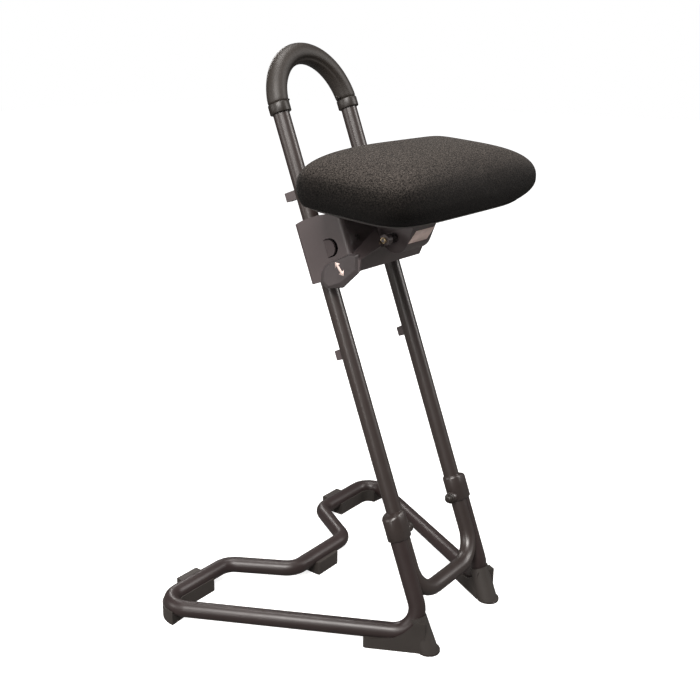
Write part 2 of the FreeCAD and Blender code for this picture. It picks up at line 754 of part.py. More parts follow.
def crown_ring(degrees):
    """Above the waist: 0 at the waist and 90 at the top of the crown."""
    angle = math.radians(degrees)
    size = math.cos(angle) ** (2 / CROWN_POWER)
    rise = math.sin(angle) ** (2 / CROWN_POWER)
    return seat_outline(WAIST_HALF_W * size, WAIST_HALF_D * size, 0, WAIST_H + CROWN_H * rise)


def build_seat_cushion():
    """Foam body: drawn-in flanks below its waist and a crown above it."""
    pan_top = 1 - PAN_T / WAIST_H
    sections = [flank_ring(t) for t in (pan_top, 0.6, 0.3, 0.0)]
    sections += [crown_ring(degrees) for degrees in range(16, 81, 8)]
    cushion = Part.makeLoft(sections, True, False)
    return seat_place(cushion.cut(insert_board()))


def insert_board():
    return Part.makeBox(2 * 150, 2 * 75, INSERT_T, Vec(-150, -62, PAN_T))


def build_seat_insert():
    board = insert_board()
    for x, y in screw_points:
        board = board.cut(Part.makeCylinder(2.5, 8, Vec(x, y, PAN_T - 2)))
    return seat_place(board)


def build_seat_pan():
    """Shallow pan whose rim shows as a thin line under the fabric."""
    rim = flank_ring(1 - PAN_T / WAIST_H)
    edge = flank_ring(1 - 1.5 / WAIST_H)
    floor = seat_outline(RIM_HALF_W - 4, RIM_HALF_D - 4, RIM_SHIFT, 0)
    pan = Part.makeLoft([floor, edge, rim], True, True)
    for x, y in screw_points:
        pan = pan.cut(Part.makeCylinder(2.5, 20, Vec(x, y, -5)))
    return seat_place(pan)


def build_label():
    slant = math.radians(HOUSING_SLANT)
    front = pivot + Vec(0, -math.cos(slant), -math.sin(slant)) * HOUSING_R
    up = Vec(0, -math.sin(slant), math.cos(slant))
    out = Vec(0, -math.cos(slant), -math.sin(slant))
    low = front + up * 3
    high = front + up * 20
    points = [
        low + Vec(-33, 0, 0), low + Vec(27, 0, 0), high + Vec(27, 0, 0), high + Vec(-33, 0, 0),
    ]
    points.append(points[0])
    return Part.Face(Part.makePolygon(points)).extrude(out * 0.3)


os.makedirs("parts", exist_ok=True)

foot = build_front_foot()
rear_pad = build_rear_pad()
sleeve = build_sleeve()
export("loop_frame", build_loop_frame())
export("base_frame", build_base_frame())
export("sleeve_right", sleeve)
export("sleeve_left", mirrored(sleeve))
export("clamp_bolts", pair(build_clamp_bolt()))
export("clamp_nuts", pair(build_clamp_nut()))
export("handle_grip", build_grip())
export("grip_collars", pair(build_collar()))
export("upper_stop_pegs", pair(build_peg(UPPER_PEG_S0, UPPER_PEG_S1, UPPER_PEG_V)))
export("lower_stop_pegs", pair(build_peg(LOWER_PEG_S0, LOWER_PEG_S1, LOWER_PEG_V)))
export("front_foot_right", foot)
export("front_foot_left", mirrored(foot))
export("rear_pad_right", rear_pad)
export("rear_pad_left", mirrored(rear_pad))
export("rear_pad_centre", build_centre_pad())
export("carriage_bracket", build_carriage_bracket())
export("upper_guide_blocks", pair(build_guide_block(688)))
export("lower_guide_blocks", pair(build_guide_block(620)))
export("brake_pads", pair(build_brake_pad()))
export("brake_plate", build_brake_plate())
brake_screws = [build_brake_screw(x) for x in (-LEG_X + 8, LEG_X - 8)]
export("brake_screws", Part.makeCompound(brake_screws))
export("tilt_bracket", build_tilt_bracket())
export("bracket_bolts", build_bracket_bolts())
export("tilt_housing", build_tilt_housing())
export("housing_screws", build_housing_screws())
export("pivot_shaft", build_shaft())
export("shaft_ring", build_shaft_ring())
export("friction_plates", build_friction_plates())
export("lever_spring", build_lever_spring())
export("release_lever", build_lever())
export("lever_paddle", build_paddle())
export("seat_pan", build_seat_pan())
export("seat_insert", build_seat_insert())
export("seat_cushion", build_seat_cushion())
export("blank_label", build_label())
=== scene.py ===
import json
import math

import bmesh
import bpy
from mathutils import Matrix, Vector


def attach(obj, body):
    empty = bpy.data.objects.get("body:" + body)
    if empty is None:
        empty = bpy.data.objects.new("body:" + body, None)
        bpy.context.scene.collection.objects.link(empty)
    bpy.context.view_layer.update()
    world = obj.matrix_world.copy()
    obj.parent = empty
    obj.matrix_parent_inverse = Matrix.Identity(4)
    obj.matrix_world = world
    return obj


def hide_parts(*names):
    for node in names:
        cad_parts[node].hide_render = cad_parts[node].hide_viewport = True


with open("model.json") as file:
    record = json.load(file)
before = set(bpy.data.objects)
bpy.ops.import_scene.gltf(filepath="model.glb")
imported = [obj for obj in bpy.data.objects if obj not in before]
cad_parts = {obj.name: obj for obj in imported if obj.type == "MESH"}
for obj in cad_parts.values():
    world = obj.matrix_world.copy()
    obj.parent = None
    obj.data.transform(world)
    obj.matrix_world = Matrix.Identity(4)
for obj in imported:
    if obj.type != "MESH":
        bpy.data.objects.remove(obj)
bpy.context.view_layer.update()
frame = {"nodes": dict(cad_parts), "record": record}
nodes = frame["nodes"]

# Colours, linear
PAINT = (0.028, 0.0205, 0.0185)
BASE_PAINT = (0.0245, 0.0165, 0.0160)
STEEL = (0.070, 0.055, 0.056)
RUBBER = (0.034, 0.029, 0.026)
FOAM = (0.017, 0.0135, 0.011)
PLASTIC = (0.062, 0.053, 0.054)
PAN = (0.060, 0.057, 0.056)
KNIT_DARK = (0.0070, 0.0061, 0.0052)
KNIT_LIGHT = (0.071, 0.061, 0.054)
# Painted shade on the knit: its brightness by how far its surface faces up, darker on the flanks
KNIT_PAINTED_SHADE = [(0.0, 0.16), (0.45, 0.34), (0.75, 0.78), (0.95, 1.0)]
LABEL = (0.95, 0.76, 0.70)
# The floor as light meets it, and as the camera sees it
FLOOR_LIT = (0.15, 0.146, 0.142, 1.0)
FLOOR_SEEN = (0.75, 0.75, 0.75, 1.0)

# Places: s runs up along the leaning legs, v runs rearward across them
LEAN = math.radians(20.9)
ALONG = Vector((0, math.sin(LEAN), math.cos(LEAN)))
ACROSS = Vector((0, math.cos(LEAN), -math.sin(LEAN)))
LEG_ORIGIN = Vector((0, -0.215, 0.005))
PIVOT = Vector((0, -0.081, 0.652))
SEAT = PIVOT + Vector((0, -0.0295, 0.0485))
SEAT_PITCH = math.radians(5.3)

# Tubes
LEG_X = 0.089
UPRIGHT_X = 0.0987
TUBE_R = 0.0135
BORE_R = TUBE_R - 0.0003

# Clamp sleeves, with their bosses and nuts. An edge lists (inset, height or depth).
SLEEVE_S0 = 0.1855
SLEEVE_S1 = 0.233
SLEEVE_R = 0.0165
SLEEVE_UPRIGHT_R = 0.017
DOME_R = 0.042
SLEEVE_HOLE_DROP = 0.0022
LOWER_EDGE = [(0.0008, 0.0006), (0.0, 0.0014)]
SHOULDER_EDGE = [(0.0, 0.0034), (0.0006, 0.0016), (0.0018, 0.0006), (0.0036, 0.0)]
BOLT_S = 0.195
BOSS_START = 0.010
BOSS_END = 0.0212
BOSS_R = 0.0095
BOSS_BORE = 0.004
WASHER_X = 0.0214
WASHER_R = 0.0093
WASHER_T = 0.0040
# Nut, as (distance from the boss, radius)
NUT_PROFILE = [
    (0.0038, 0.0070), (0.0048, 0.0066), (0.0080, 0.0064), (0.0092, 0.0054), (0.0098, 0.0034),
    (0.0099, 0.0005),
]

# Handle and its collars. SEAM is the groove's depth at each corner, TAIL lists (x, s).
ARCH_S = 0.895
GRIP_S = 0.904
GRIP_R = 0.017
GRIP_END_INSET = 0.0012
GRIP_SPANS = 64
GRIP_BLEND = 4
GRIP_CORNERS = 48
SEAM = {17: 0.0006, 18: 0.0018, 19: 0.0006}
COLLAR_R = 0.0174
COLLAR_L = 0.0155
COLLAR_LIP = 0.0006
TAIL_HALF_W = 0.0022
TAIL = [(0.0160, -0.0020), (0.0275, 0.0036), (0.0270, 0.0064), (0.0160, 0.0024)]

# Paddle: its back, edge and face along x, and outlines in millimetres about the pivot
PADDLE_X = (-0.113, -0.1152, -0.1196)
PADDLE_EDGE = [
    (82, -69.3), (81.5, -54), (73, -40), (24, -15), (9.5, -14.5), (8.5, -43), (38, -71), (70, -77),
]
PADDLE_FACE = [
    (72.5, -65.3), (71, -47), (61, -35), (24, -18), (14, -18.2), (13.5, -39), (40.5, -62.5), (63, -71.5),
]
ARROW = [
    (0, 9), (4.5, 4), (1.5, 4), (1.5, -4), (4.5, -4), (0, -9), (-4.5, -4), (-1.5, -4), (-1.5, 4),
    (-4.5, 4),
]
ARROW_SCALE = 1.4
ARROW_TURN = math.radians(-40)
ARROW_PLACE = (42, -41)

# Tilt housing, its flanges under the pan, and its label, as (x, rise along the slant)
HOUSING_X = 0.0335
HOUSING_R = 0.025
HOUSING_SLANT = math.radians(21)
HOUSING_OUT = Vector((0, -math.cos(HOUSING_SLANT), -math.sin(HOUSING_SLANT)))
HOUSING_UP = Vector((0, -math.sin(HOUSING_SLANT), math.cos(HOUSING_SLANT)))
HOUSING_FRONT = (0.0425, 0.03, 0.015, 0.0)
HOUSING_ROUND = math.radians(100)
HOUSING_STEPS = 12
HOUSING_REAR = [(0.028, -0.010), (0.030, 0.0512)]
HOUSING_SHEET = 0.0022
FLANGE_X0 = 0.0325
FLANGE_X1 = 0.047
FLANGE_D = 0.074
FLANGE_DROP = 0.0003
LABEL_CORNERS = [(-0.0325, 0.002), (0.021, 0.002), (0.032, 0.0225), (-0.0215, 0.0225)]
LABEL_GAP = 0.00008
LABEL_T = 0.0003

# D-shaped tabs in the cheeks of the carriage
CHEEK_INNER_X = 0.10625
TAB_S = 0.6645
TAB_R = 0.014
TAB_HINGE_V = -0.027
TAB_NOSE_V = -0.0365
TAB_TURN = math.radians(23)
TAB_LENGTH = 0.88
TAB_WIDTH = 0.93

# Cushion: half widths and depths at rim and waist, heights above the pan's seat
FRONT_CORNER = 2 / 5.2
REAR_CORNER = 2 / 9.0
RIM_W = 0.185
RIM_D = 0.092
WAIST_W = 0.212
WAIST_D = 0.105
WAIST_H = 0.038
CROWN_H = 0.059
CROWN_SHAPE = 2 / 2.4
CUSHION_CAP = 0.0015
CUSHION_POINTS = 176
RIM_SHIFT = 0.014
PAN_EDGE = [(0.170, 0.078, 0.0053), (0.1858, 0.0928, 0.0022)]
FLANK_Z0 = 0.0035
FLANK_SHARE = 0.86
FLANK_STEPS = 11
CROWN_DEGREES = [*range(6, 79, 6), 82, 86]

# Camera and light
CAMERA_PLACE = (-1.2693, -0.9027, 0.9352)
CAMERA_TURN = (math.radians(72.47), 0, math.radians(-50.69))
CAMERA_LENS = 49.43
CAMERA_SHIFT = 0.0714
LIGHT_COLOUR = (1.0, 0.965, 0.935)
LIGHT_AIM = (0, 0, 0.45)
WORLD_LIT = 0.12
WORLD_SEEN = 1.0


# Shader helpers
def new_material(name):
    material = bpy.data.materials.new(name)
    material.use_nodes = True
    tree = material.node_tree
    shader = tree.nodes["Principled BSDF"]
    place = tree.nodes.new("ShaderNodeTexCoord")
    return material, tree, shader, place.outputs["Object"]


def noise(tree, place, scale, detail=3.0, roughness=0.5):
    node = tree.nodes.new("ShaderNodeTexNoise")
    node.inputs["Scale"].default_value = scale
    node.inputs["Detail"].default_value = detail
    node.inputs["Roughness"].default_value = roughness
    tree.links.new(place, node.inputs["Vector"])
    return node.outputs["Fac"]


def cells(tree, place, scale):
    node = tree.nodes.new("ShaderNodeTexVoronoi")
    node.inputs["Scale"].default_value = scale
    tree.links.new(place, node.inputs["Vector"])
    return node.outputs["Distance"]


def ramp(tree, value, stops):
    node = tree.nodes.new("ShaderNodeValToRGB")
    elements = node.color_ramp.elements
    while len(elements) < len(stops):
        elements.new(0.5)
    for element, (position, colour) in zip(elements, stops):
        element.position = position
        element.color = (*colour, 1.0)
    tree.links.new(value, node.inputs["Fac"])
    return node.outputs["Color"]


def feed(tree, value, socket):
    """Links an output to a socket, or sets a plain value on it."""
    if isinstance(value, bpy.types.NodeSocket):
        tree.links.new(value, socket)
    else:
        socket.default_value = value


def number_range(tree, value, low, high, start=0.0, end=1.0):
    """Carries a value from start..end over to low..high."""
    node = tree.nodes.new("ShaderNodeMapRange")
    node.inputs["From Min"].default_value = start
    node.inputs["From Max"].default_value = end
    node.inputs["To Min"].default_value = low
    node.inputs["To Max"].default_value = high
    tree.links.new(value, node.inputs["Value"])
    return node.outputs["Result"]


def arithmetic(tree, operation, *values):
    node = tree.nodes.new("ShaderNodeMath")
    node.operation = operation
    for value, socket in zip(values, node.inputs):
        feed(tree, value, socket)
    return node.outputs["Value"]


def colour_mix(tree, blend, factor, first, second):
    node = tree.nodes.new("ShaderNodeMix")
    node.data_type = "RGBA"
    node.blend_type = blend
    feed(tree, factor, node.inputs["Factor"])
    feed(tree, first, node.inputs["A"])
    feed(tree, second, node.inputs["B"])
    return node.outputs["Result"]


def bump(tree, shader, height, strength, distance):
    node = tree.nodes.new("ShaderNodeBump")
    node.inputs["Strength"].default_value = strength
    node.inputs["Distance"].default_value = distance
    tree.links.new(height, node.inputs["Height"])
    tree.links.new(node.outputs["Normal"], shader.inputs["Normal"])


def shade(colour, factor):
    return tuple(channel * factor for channel in colour)


# Materials
def coated_steel(name, colour, rough, grain=1400.0, gloss=0.7):
    """Satin powder coat: fine orange peel, faint clouding, a thin clear sheen."""
    material, tree, shader, place = new_material(name)
    clouds = noise(tree, place, 9.0)
    stops = [(0.25, shade(colour, 0.88)), (0.75, shade(colour, 1.12))]
    tree.links.new(ramp(tree, clouds, stops), shader.inputs["Base Color"])
    wear = noise(tree, place, 60.0, 5.0)
    tree.links.new(number_range(tree, wear, rough - 0.05, rough + 0.07), shader.inputs["Roughness"])
    shader.inputs["Specular IOR Level"].default_value = gloss
    bump(tree, shader, noise(tree, place, grain, 2.0), 0.05, 0.0003)
    return material


def moulded(name, colour, rough, grain, depth):
    """Plastic or rubber with a fine moulded grain."""
    material, tree, shader, place = new_material(name)
    clouds = noise(tree, place, 14.0, 4.0)
    stops = [(0.3, shade(colour, 0.85)), (0.7, shade(colour, 1.15))]
    tree.links.new(ramp(tree, clouds, stops), shader.inputs["Base Color"])
    tree.links.new(number_range(tree, clouds, rough - 0.05, rough + 0.05), shader.inputs["Roughness"])
    bump(tree, shader, cells(tree, place, grain), 0.25, depth)
    return material


def foam(name):
    """Closed-cell foam of the handle: matt, with small open pores."""
    material, tree, shader, place = new_material(name)
    pores = cells(tree, place, 900.0)
    stops = [(0.0, shade(FOAM, 0.5)), (0.4, FOAM), (1.0, shade(FOAM, 2.0))]
    tree.links.new(ramp(tree, pores, stops), shader.inputs["Base Color"])
    shader.inputs["Roughness"].default_value = 0.52
    bump(tree, shader, pores, 0.3, 0.0004)
    return material


def bare_metal(name, colour, rough):
    """Plated or bare metal with fine brushing."""
    material, tree, shader, place = new_material(name)
    scratches = noise(tree, place, 240.0, 6.0)
    stops = [(0.3, shade(colour, 0.75)), (0.7, shade(colour, 1.1))]
    tree.links.new(ramp(tree, scratches, stops), shader.inputs["Base Color"])
    shader.inputs["Metallic"].default_value = 1.0
    tree.links.new(number_range(tree, scratches, rough - 0.1, rough + 0.1), shader.inputs["Roughness"])
    bump(tree, shader, scratches, 0.1, 0.0002)
    return material


def plywood(name):
    material, tree, shader, place = new_material(name)
    grain = noise(tree, place, 40.0, 8.0)
    stops = [(0.3, (0.40, 0.26, 0.14)), (0.7, (0.62, 0.45, 0.28))]
    tree.links.new(ramp(tree, grain, stops), shader.inputs["Base Color"])
    shader.inputs["Roughness"].default_value = 0.6
    bump(tree, shader, grain, 0.2, 0.0004)
    return material


def knit(name):
    """Charcoal knit: loops with light tips and dark gaps, and painted shade that darkens it where its
    surface faces down.
    """
    material, tree, shader, place = new_material(name)
    loops = cells(tree, place, 620.0)
    fuzz = noise(tree, place, 430.0, 3.0, 0.7)
    stops = [(0.46, shade(KNIT_LIGHT, 1.35)), (0.70, shade(KNIT_LIGHT, 0.55)), (0.92, KNIT_DARK)]
    yarn = ramp(tree, arithmetic(tree, "MULTIPLY_ADD", loops, 0.45, fuzz), stops)
    surface = tree.nodes.new("ShaderNodeNewGeometry")
    split = tree.nodes.new("ShaderNodeSeparateXYZ")
    tree.links.new(surface.outputs["True Normal"], split.inputs["Vector"])
    # Painted shade: a grey by how far the knit's surface faces up, multiplied into its colour
    stops = [(steepness, (grey, grey, grey)) for steepness, grey in KNIT_PAINTED_SHADE]
    painted_shade = ramp(tree, split.outputs["Z"], stops)
    tree.links.new(colour_mix(tree, "MULTIPLY", 1.0, yarn, painted_shade), shader.inputs["Base Color"])
    shader.inputs["Roughness"].default_value = 0.95
    shader.inputs["Specular IOR Level"].default_value = 0.10
    shader.inputs["Sheen Weight"].default_value = 0.03
    shader.inputs["Sheen Roughness"].default_value = 0.5
    bump(tree, shader, arithmetic(tree, "SUBTRACT", 1.0, loops), 0.7, 0.0009)
    return material


def paper(name, colour):
    """Blank sticker: smooth, pale, a little uneven."""
    material, tree, shader, place = new_material(name)
    clouds = noise(tree, place, 120.0, 4.0)
    stops = [(0.35, shade(colour, 0.9)), (0.65, colour)]
    tree.links.new(ramp(tree, clouds, stops), shader.inputs["Base Color"])
    shader.inputs["Roughness"].default_value = 0.45
    bump(tree, shader, clouds, 0.05, 0.0002)
    return material


finishes = {
    "loop_tube": coated_steel("coated_tube_upper", PAINT, 0.35),
    "base_tube": coated_steel("coated_tube_base", BASE_PAINT, 0.38, 1400.0, 0.52),
    "sleeve": coated_steel("coated_sleeve", PAINT, 0.33),
    "rubber_foot": moulded("foot_rubber", RUBBER, 0.55, 700.0, 0.0003),
    "grip_foam": foam("grip_foam"),
    "collar": moulded("collar_plastic", FOAM, 0.42, 900.0, 0.0002),
    "steel_black": coated_steel("coated_sheet", STEEL, 0.42, 1100.0),
    "zinc": bare_metal("zinc_plate", (0.16, 0.15, 0.15), 0.35),
    "brass": bare_metal("brass", (0.80, 0.62, 0.36), 0.26),
    "friction": bare_metal("friction_steel", (0.35, 0.34, 0.33), 0.45),
    "guide": moulded("guide_plastic", (0.05, 0.05, 0.05), 0.5, 900.0, 0.0002),
    "brake": moulded("brake_rubber", (0.035, 0.028, 0.026), 0.7, 600.0, 0.0004),
    "lever_plastic": moulded("lever_plastic", PLASTIC, 0.40, 1100.0, 0.0002),
    "pan": moulded("pan_plastic", PAN, 0.5, 800.0, 0.0003),
    "plywood": plywood("plywood"),
    "knit": knit("charcoal_knit"),
    "label": paper("blank_paper", LABEL),
}


def dress_nodes():
    for part in frame["record"]["subparts"]:
        mesh = nodes[part["node"]].data
        mesh.materials.clear()
        mesh.materials.append(finishes[part["material_slot"]])


def piece(name, mesh, slot, body):
    """A finished mesh becomes a piece that rides on its body."""
    thing = bpy.data.objects.new(name, mesh)
    bpy.context.scene.collection.objects.link(thing)
    mesh.materials.clear()
    mesh.materials.append(finishes[slot])
    for face in mesh.polygons:
        face.use_smooth = True
    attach(thing, body)
    return thing


# Shape helpers
def leg_point(x, s, v=0.0):
    return LEG_ORIGIN + Vector((x, 0, 0)) + ALONG * s + ACROSS * v


def circle(centre, side, other, radius, count=40):
    points = []
    for step in range(count):
        angle = 2 * math.pi * step / count
        points.append(centre + (side * math.cos(angle) + other * math.sin(angle)) * radius)
    return points


def skin(work, rings, capped=True):
    """Joins rings of equal count into one surface, with flat ends if capped."""
    rows = [[work.verts.new(point) for point in ring] for ring in rings]
    for low, high in zip(rows, rows[1:]):
        count = len(low)
        for i in range(count):
            j = (i + 1) % count
            work.faces.new((low[i], low[j], high[j], high[i]))
    if capped:
        work.faces.new(rows[0][::-1])
        work.faces.new(rows[-1])


def lathe(work, origin, axis, side, profile, count=40):
    """Turned shape: profile holds (distance along the axis, radius)."""
    other = axis.cross(side)
    rings = [circle(origin + axis * a, side, other, r, count) for a, r in profile]
    skin(work, rings)


def closed_mesh(name, work):
    bmesh.ops.recalc_face_normals(work, faces=work.faces)
    mesh = bpy.data.meshes.new(name)
    work.to_mesh(mesh)
    work.free()
    return mesh


def use_only(thing):
    for other in bpy.context.selected_objects:
        other.select_set(False)
    thing.select_set(True)
    bpy.context.view_layer.objects.active = thing


def apply_modifier(thing, name):
    use_only(thing)
    bpy.ops.object.modifier_apply(modifier=name)


def soften(thing, width, segments=3, angle=30):
    edge = thing.modifiers.new("soft_edges", "BEVEL")
    edge.width = width
    edge.segments = segments
    edge.limit_method = "ANGLE"
    edge.angle_limit = math.radians(angle)
    edge.harden_normals = True
    apply_modifier(thing, "soft_edges")


def rounded_profile(start, end, radius, bore, edge):
    """Ring section from bore to radius with rounded outer corners."""
    return [
        (start, bore), (start, radius - edge), (start + edge * 0.3, radius - edge * 0.3),
        (start + edge, radius), (end - edge, radius), (end - edge * 0.3, radius - edge * 0.3),
        (end, radius - edge), (end, bore),
    ]


# Clamp sleeves with a shoulder domed over the end of the upright
def around(count=64):
    """Cosine and sine of evenly spaced angles."""
    return [(math.cos(2 * math.pi * i / count), math.sin(2 * math.pi * i / count)) for i in range(count)]


def sleeve_outline(inset):
    """Places (x, v) round the leg on its inner side and round the upright on its outer side."""
    places = []
    for c, v in around():
        centre = LEG_X if c < 0 else UPRIGHT_X
        radius = (SLEEVE_R if c < 0 else SLEEVE_UPRIGHT_R) - inset
        places.append((centre + radius * c, radius * v))
    return places


def lower_ring(side, inset, height):
    return [leg_point(side * x, SLEEVE_S0 + height, v) for x, v in sleeve_outline(inset)]


def shoulder_ring(side, inset, depth):
    """A ring on a dome centred on the leg, lowered by depth."""
    ring = []
    for x, v in sleeve_outline(inset):
        drop = DOME_R - math.sqrt(DOME_R ** 2 - math.hypot(x - LEG_X, v) ** 2)
        ring.append(leg_point(side * x, SLEEVE_S1 - drop - depth, v))
    return ring


def hole_ring(side, s):
    return [leg_point(side * (LEG_X + BORE_R * c), s, BORE_R * v) for c, v in around()]


def build_sleeve(side, name, node):
    work = bmesh.new()
    rings = [hole_ring(side, SLEEVE_S0)]
    rings += [lower_ring(side, inset, height) for inset, height in LOWER_EDGE]
    rings += [shoulder_ring(side, inset, depth) for inset, depth in SHOULDER_EDGE]
    rings.append(hole_ring(side, SLEEVE_S1 - SLEEVE_HOLE_DROP))
    skin(work, rings, capped=False)
    inward = Vector((-side, 0, 0))
    boss = rounded_profile(BOSS_START, BOSS_END, BOSS_R, BOSS_BORE, 0.001)
    lathe(work, leg_point(side * LEG_X, BOLT_S), inward, ALONG, boss)
    thing = piece(name, closed_mesh(name, work), "sleeve", "frame")
    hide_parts(node)


def build_clamp_nuts():
    work = bmesh.new()
    for side in (-1, 1):
        inward = Vector((-side, 0, 0))
        base = leg_point(side * (LEG_X - WASHER_X), BOLT_S)
        lathe(work, base, inward, ALONG, rounded_profile(0.0, WASHER_T, WASHER_R, 0.001, 0.0012))
        lathe(work, base, inward, ALONG, NUT_PROFILE)
    thing = piece("round_clamp_nuts", closed_mesh("round_clamp_nuts", work), "collar", "frame")
    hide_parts("clamp_nuts")


# Handle: foam with a moulding seam, and collars with a thin tail
def grip_tilt(turn, step):
    """Angle of a ring's plane, square to the leg at both ends of the grip."""
    if step > GRIP_SPANS - GRIP_BLEND:
        return math.pi - (math.pi - turn) * (GRIP_SPANS - step) / GRIP_BLEND
    return turn * min(1.0, step / GRIP_BLEND)


def grip_ring(step):
    start = math.asin((GRIP_S - ARCH_S) / LEG_X)
    turn = start + (math.pi - 2 * start) * step / GRIP_SPANS
    centre = leg_point(-LEG_X * math.cos(turn), ARCH_S + LEG_X * math.sin(turn))
    tilt = grip_tilt(turn, step)
    outward = Vector((-math.cos(tilt), 0, 0)) + ALONG * math.sin(tilt)
    ring = []
    for corner in range(GRIP_CORNERS):
        angle = 2 * math.pi * corner / GRIP_CORNERS
        radius = GRIP_R - SEAM.get(corner, 0.0)
        if step in (0, GRIP_SPANS):
            radius -= GRIP_END_INSET
        ring.append(centre + (outward * math.cos(angle) - ACROSS * math.sin(angle)) * radius)
    return ring


def build_handle():
    work = bmesh.new()
    skin(work, [grip_ring(step) for step in range(GRIP_SPANS + 1)])
    thing = piece("foam_handle", closed_mesh("foam_handle", work), "grip_foam", "frame")
    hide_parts("handle_grip")


def build_collars():
    work = bmesh.new()
    section = rounded_profile(0.0, COLLAR_L + COLLAR_LIP, COLLAR_R, BORE_R, 0.0014)
    root = GRIP_S + COLLAR_LIP
    for side in (-1, 1):
        base = leg_point(side * LEG_X, GRIP_S - COLLAR_L)
        lathe(work, base, ALONG, Vector((side, 0, 0)), section, 48)
        rings = []
        for v in (-TAIL_HALF_W, TAIL_HALF_W):
            rings.append([leg_point(side * (LEG_X - x), root + s, v) for x, s in TAIL])
        skin(work, rings)
    thing = piece("end_collars", closed_mesh("end_collars", work), "collar", "frame")
    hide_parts("grip_collars")


# Paddle with a wide bevel, and a plain arrow where a symbol belongs
def paddle_ring(x, outline):
    return [PIVOT + Vector((x, y / 1000, z / 1000)) for y, z in outline]


def build_paddle():
    back, side, face = PADDLE_X
    work = bmesh.new()
    outlines = ((back, PADDLE_EDGE), (side, PADDLE_EDGE), (face, PADDLE_FACE))
    skin(work, [paddle_ring(x, outline) for x, outline in outlines])
    thing = piece("bevelled_paddle", closed_mesh("bevelled_paddle", work), "lever_plastic", "lever")
    soften(thing, 0.0011, 3, 12)
    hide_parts("lever_paddle")


def build_arrow():
    face = PADDLE_X[2]
    across = ARROW_SCALE * math.cos(ARROW_TURN)
    along = ARROW_SCALE * math.sin(ARROW_TURN)
    outline = []
    for y, z in ARROW:
        outline.append((ARROW_PLACE[0] + y * across - z * along, ARROW_PLACE[1] + y * along + z * across))
    work = bmesh.new()
    skin(work, [paddle_ring(face + 0.0003, outline), paddle_ring(face - 0.00015, outline)])
    piece("plain_arrow", closed_mesh("plain_arrow", work), "label", "lever")


# Tilt housing, folded from sheet, with its blank label
def housing_profile():
    """Points of the side outline: slanted front from the pan, round bottom, rear edge."""
    points = [PIVOT + HOUSING_OUT * HOUSING_R + HOUSING_UP * rise for rise in HOUSING_FRONT]
    for step in range(1, HOUSING_STEPS + 1):
        angle = HOUSING_SLANT + HOUSING_ROUND * step / HOUSING_STEPS
        points.append(PIVOT + Vector((0, -math.cos(angle), -math.sin(angle))) * HOUSING_R)
    for y, z in HOUSING_REAR:
        points.append(PIVOT + Vector((0, y, z)))
    return points


def add_flange(work, side):
    turn = Matrix.Rotation(SEAT_PITCH, 4, "X")
    strip = []
    for x, y in ((FLANGE_X0, 0.0), (FLANGE_X1, 0.0), (FLANGE_X1, FLANGE_D), (FLANGE_X0, FLANGE_D)):
        strip.append(work.verts.new(SEAT + turn @ Vector((side * x, y, -FLANGE_DROP))))
    work.faces.new(strip)


def build_housing():
    work = bmesh.new()
    profile = housing_profile()
    near = [work.verts.new(point + Vector((-HOUSING_X, 0, 0))) for point in profile]
    far = [work.verts.new(point + Vector((HOUSING_X, 0, 0))) for point in profile]
    for i in range(len(HOUSING_FRONT) + HOUSING_STEPS - 1):
        work.faces.new((near[i], near[i + 1], far[i + 1], far[i]))
    work.faces.new(near)
    work.faces.new(far[::-1])
    for side in (-1, 1):
        add_flange(work, side)
    thing = piece("folded_housing", closed_mesh("folded_housing", work), "steel_black", "seat")
    sheet = thing.modifiers.new("sheet", "SOLIDIFY")
    sheet.thickness = HOUSING_SHEET
    sheet.offset = -1.0
    sheet.use_even_offset = True
    apply_modifier(thing, "sheet")
    soften(thing, 0.0012, 3, 40)
    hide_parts("tilt_housing")


def build_label():
    face = PIVOT + HOUSING_OUT * (HOUSING_R + LABEL_GAP)
    low = [face + Vector((x, 0, 0)) + HOUSING_UP * rise for x, rise in LABEL_CORNERS]
    high = [point + HOUSING_OUT * LABEL_T for point in low]
    work = bmesh.new()
    skin(work, [low, high])
    thing = piece("plain_sticker", closed_mesh("plain_sticker", work), "label", "seat")
    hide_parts("blank_label")


# Carriage sheet, its D-shaped tabs pressed outward
def on_tab(x, s, v):
    """Whether a vertex of the bracket belongs to a tab, apart from the tab's hinge."""
    beside = abs(s - TAB_S) < TAB_R and TAB_NOSE_V <= v < TAB_HINGE_V - 0.0004
    in_nose = v < TAB_NOSE_V and math.hypot(v - TAB_NOSE_V, s - TAB_S) < TAB_R + 0.0001
    return abs(x) > LEG_X + 0.001 and (beside or in_nose)


def turned_tab_point(x, s, v):
    """Swings a point of a tab about its hinge line, and draws it in a little."""
    deep = CHEEK_INNER_X - abs(x)
    reach = TAB_HINGE_V - v
    angle = math.atan2(deep, reach) - TAB_TURN
    length = math.hypot(deep, reach) * TAB_LENGTH
    new_x = CHEEK_INNER_X - length * math.sin(angle)
    new_s = TAB_S + (s - TAB_S) * TAB_WIDTH
    return leg_point(math.copysign(new_x, x), new_s, TAB_HINGE_V - length * math.cos(angle))


def build_carriage():
    mesh = nodes["carriage_bracket"].data.copy()
    work = bmesh.new()
    work.from_mesh(mesh)
    bmesh.ops.remove_doubles(work, verts=work.verts, dist=1e-5)
    for vertex in work.verts:
        local = vertex.co - LEG_ORIGIN
        place = (local.x, local.dot(ALONG), local.dot(ACROSS))
        if on_tab(*place):
            vertex.co = turned_tab_point(*place)
    work.to_mesh(mesh)
    work.free()
    thing = piece("carriage_sheet", mesh, "steel_black", "carriage")
    thing.data.shade_flat()
    soften(thing, 0.0005, 2, 30)
    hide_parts("carriage_bracket")


